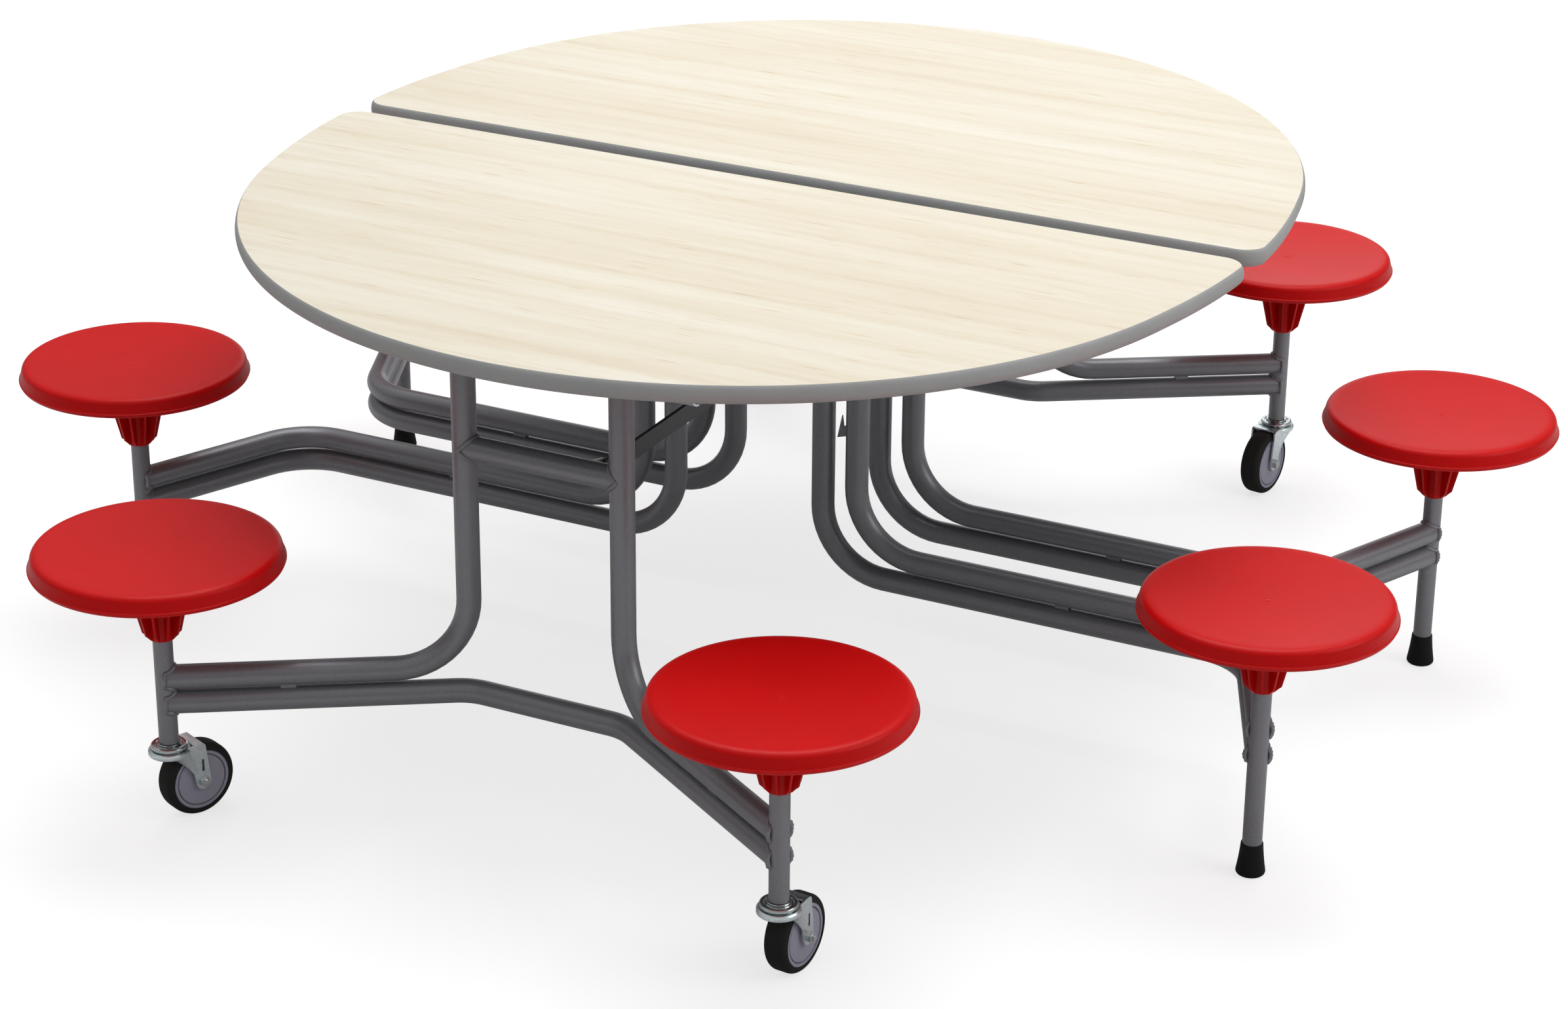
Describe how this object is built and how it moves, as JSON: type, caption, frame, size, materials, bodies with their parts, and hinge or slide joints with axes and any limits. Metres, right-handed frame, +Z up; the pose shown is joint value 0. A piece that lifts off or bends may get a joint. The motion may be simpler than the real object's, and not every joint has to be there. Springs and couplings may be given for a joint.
{
  "type": "mobile folding table with attached stools",
  "caption": "Mobile folding dining table: two half-round tops on hinged tube frames with attached round stools, swivel castors under the end stools and rubber feet under the side stools.",
  "frame": {"origin": "on the floor, below the middle of the table", "axes": "+Z up, X along the split between the half tops, the front half towards -Y"},
  "size_m": [2.022, 2.042, 0.69],
  "materials": {
    "maple_laminate": "matt pale maple laminate, grain along the split",
    "grey_edging": "fine-textured moulded edging",
    "powder_coat": "dark silver-grey powder coat with orange peel",
    "red_plastic": "fine-grained red polypropylene",
    "zinc": "bright zinc plating",
    "wheel_grey": "satin grey nylon",
    "tyre_black": "matt black rubber tread",
    "black_rubber": "matt black rubber",
    "link_steel": "dark grey painted flat bar"
  },
  "bodies": {
    "front_frame": {"front_upper_tubes": "powder_coat", "front_lower_tube": "powder_coat", "front_cross_tube": "powder_coat", "front_pivot_tube": "powder_coat", "front_posts": "powder_coat", "front_castor_races": "zinc", "front_link_lug": "powder_coat", "front_left_seat": "red_plastic", "front_right_seat": "red_plastic"},
    "front_top": {"front_top_board": "maple_laminate", "front_top_edging": "grey_edging", "front_top_saddles": "zinc", "front_top_screws": "zinc"},
    "front_link_arm": {"front_link": "link_steel", "front_link_bolts": "zinc"},
    "rear_frame": {"rear_upper_tubes": "powder_coat", "rear_lower_tube": "powder_coat", "rear_cross_tube": "powder_coat", "rear_pivot_tube": "powder_coat", "rear_posts": "powder_coat", "rear_castor_races": "zinc", "rear_link_lug": "powder_coat", "rear_left_seat": "red_plastic", "rear_right_seat": "red_plastic"},
    "rear_top": {"rear_top_board": "maple_laminate", "rear_top_edging": "grey_edging", "rear_top_saddles": "zinc", "rear_top_screws": "zinc"},
    "rear_link_arm": {"rear_link": "link_steel", "rear_link_bolts": "zinc"},
    "centre_frame": {"centre_front_left_tubes": "powder_coat", "left_front_seat": "red_plastic", "centre_front_right_tubes": "powder_coat", "right_front_seat": "red_plastic", "centre_rear_left_tubes": "powder_coat", "left_rear_seat": "red_plastic", "centre_rear_right_tubes": "powder_coat", "right_rear_seat": "red_plastic", "centre_posts": "powder_coat", "rubber_feet": "black_rubber", "centre_pivot_tubes": "powder_coat", "centre_end_plates": "powder_coat", "centre_link_lugs": "powder_coat", "centre_catch_plates": "powder_coat"},
    "front_left_castor": {"front_left_fork": "zinc", "front_left_axle": "zinc"},
    "front_left_wheel": {"front_left_wheel_hub": "wheel_grey", "front_left_tyre": "tyre_black"},
    "front_right_castor": {"front_right_fork": "zinc", "front_right_axle": "zinc"},
    "front_right_wheel": {"front_right_wheel_hub": "wheel_grey", "front_right_tyre": "tyre_black"},
    "rear_right_castor": {"rear_right_fork": "zinc", "rear_right_axle": "zinc"},
    "rear_right_wheel": {"rear_right_wheel_hub": "wheel_grey", "rear_right_tyre": "tyre_black"},
    "rear_left_castor": {"rear_left_fork": "zinc", "rear_left_axle": "zinc"},
    "rear_left_wheel": {"rear_left_wheel_hub": "wheel_grey", "rear_left_tyre": "tyre_black"}
  },
  "joints": [
    {"name": "front_top_fold", "type": "hinge", "parent": "front_frame", "child": "front_top", "pos_m": [0, -0.648, 0.645], "axis": [1, 0, 0], "range_deg": [0, 90]},
    {"name": "centre_frame_fold", "type": "hinge", "parent": "front_top", "child": "centre_frame", "pos_m": [0, -0.0905, 0.645], "axis": [1, 0, 0], "range_deg": [-90, 0]},
    {"name": "rear_top_fold", "type": "hinge", "parent": "centre_frame", "child": "rear_top", "pos_m": [0, 0.0905, 0.645], "axis": [1, 0, 0], "range_deg": [-90, 0]},
    {"name": "rear_frame_fold", "type": "hinge", "parent": "rear_top", "child": "rear_frame", "pos_m": [0, 0.648, 0.645], "axis": [1, 0, 0], "range_deg": [0, 90]},
    {"name": "front_link_swing", "type": "hinge", "parent": "front_frame", "child": "front_link_arm", "pos_m": [0.07, -0.614, 0.5], "axis": [1, 0, 0], "range_deg": [0, 90]},
    {"name": "rear_link_swing", "type": "hinge", "parent": "centre_frame", "child": "rear_link_arm", "pos_m": [-0.07, 0.0565, 0.5], "axis": [1, 0, 0], "range_deg": [-90, 0]},
    {"name": "front_left_swivel", "type": "hinge", "parent": "front_frame", "child": "front_left_castor", "pos_m": [-0.44, -0.859, 0.103], "axis": [0, 0, 1], "continuous": true},
    {"name": "front_left_wheel_spin", "type": "hinge", "parent": "front_left_castor", "child": "front_left_wheel", "pos_m": [-0.42576, -0.82594, 0.05], "axis": [-0.9184, 0.3955, 0], "continuous": true},
    {"name": "front_right_swivel", "type": "hinge", "parent": "front_frame", "child": "front_right_castor", "pos_m": [0.44, -0.859, 0.103], "axis": [0, 0, 1], "continuous": true},
    {"name": "front_right_wheel_spin", "type": "hinge", "parent": "front_right_castor", "child": "front_right_wheel", "pos_m": [0.44333, -0.82315, 0.05], "axis": [-0.9957, 0.0924, 0], "continuous": true},
    {"name": "rear_right_swivel", "type": "hinge", "parent": "rear_frame", "child": "rear_right_castor", "pos_m": [0.44, 0.859, 0.103], "axis": [0, 0, 1], "continuous": true},
    {"name": "rear_right_wheel_spin", "type": "hinge", "parent": "rear_right_castor", "child": "rear_right_wheel", "pos_m": [0.4348, 0.82338, 0.05], "axis": [0.9895, -0.1444, 0], "continuous": true},
    {"name": "rear_left_swivel", "type": "hinge", "parent": "rear_frame", "child": "rear_left_castor", "pos_m": [-0.44, 0.859, 0.103], "axis": [0, 0, 1], "continuous": true},
    {"name": "rear_left_wheel_spin", "type": "hinge", "parent": "rear_left_castor", "child": "rear_left_wheel", "pos_m": [-0.43008, 0.82439, 0.05], "axis": [0.9613, 0.2756, 0], "continuous": true}
  ],
  "couplings": [
    {"joint": "centre_frame_fold", "follows": "front_top_fold", "ratio": -1},
    {"joint": "rear_top_fold", "follows": "front_top_fold", "ratio": -1},
    {"joint": "rear_frame_fold", "follows": "front_top_fold", "ratio": 1},
    {"joint": "front_link_swing", "follows": "front_top_fold", "ratio": 1},
    {"joint": "rear_link_swing", "follows": "front_top_fold", "ratio": -1}
  ]
}
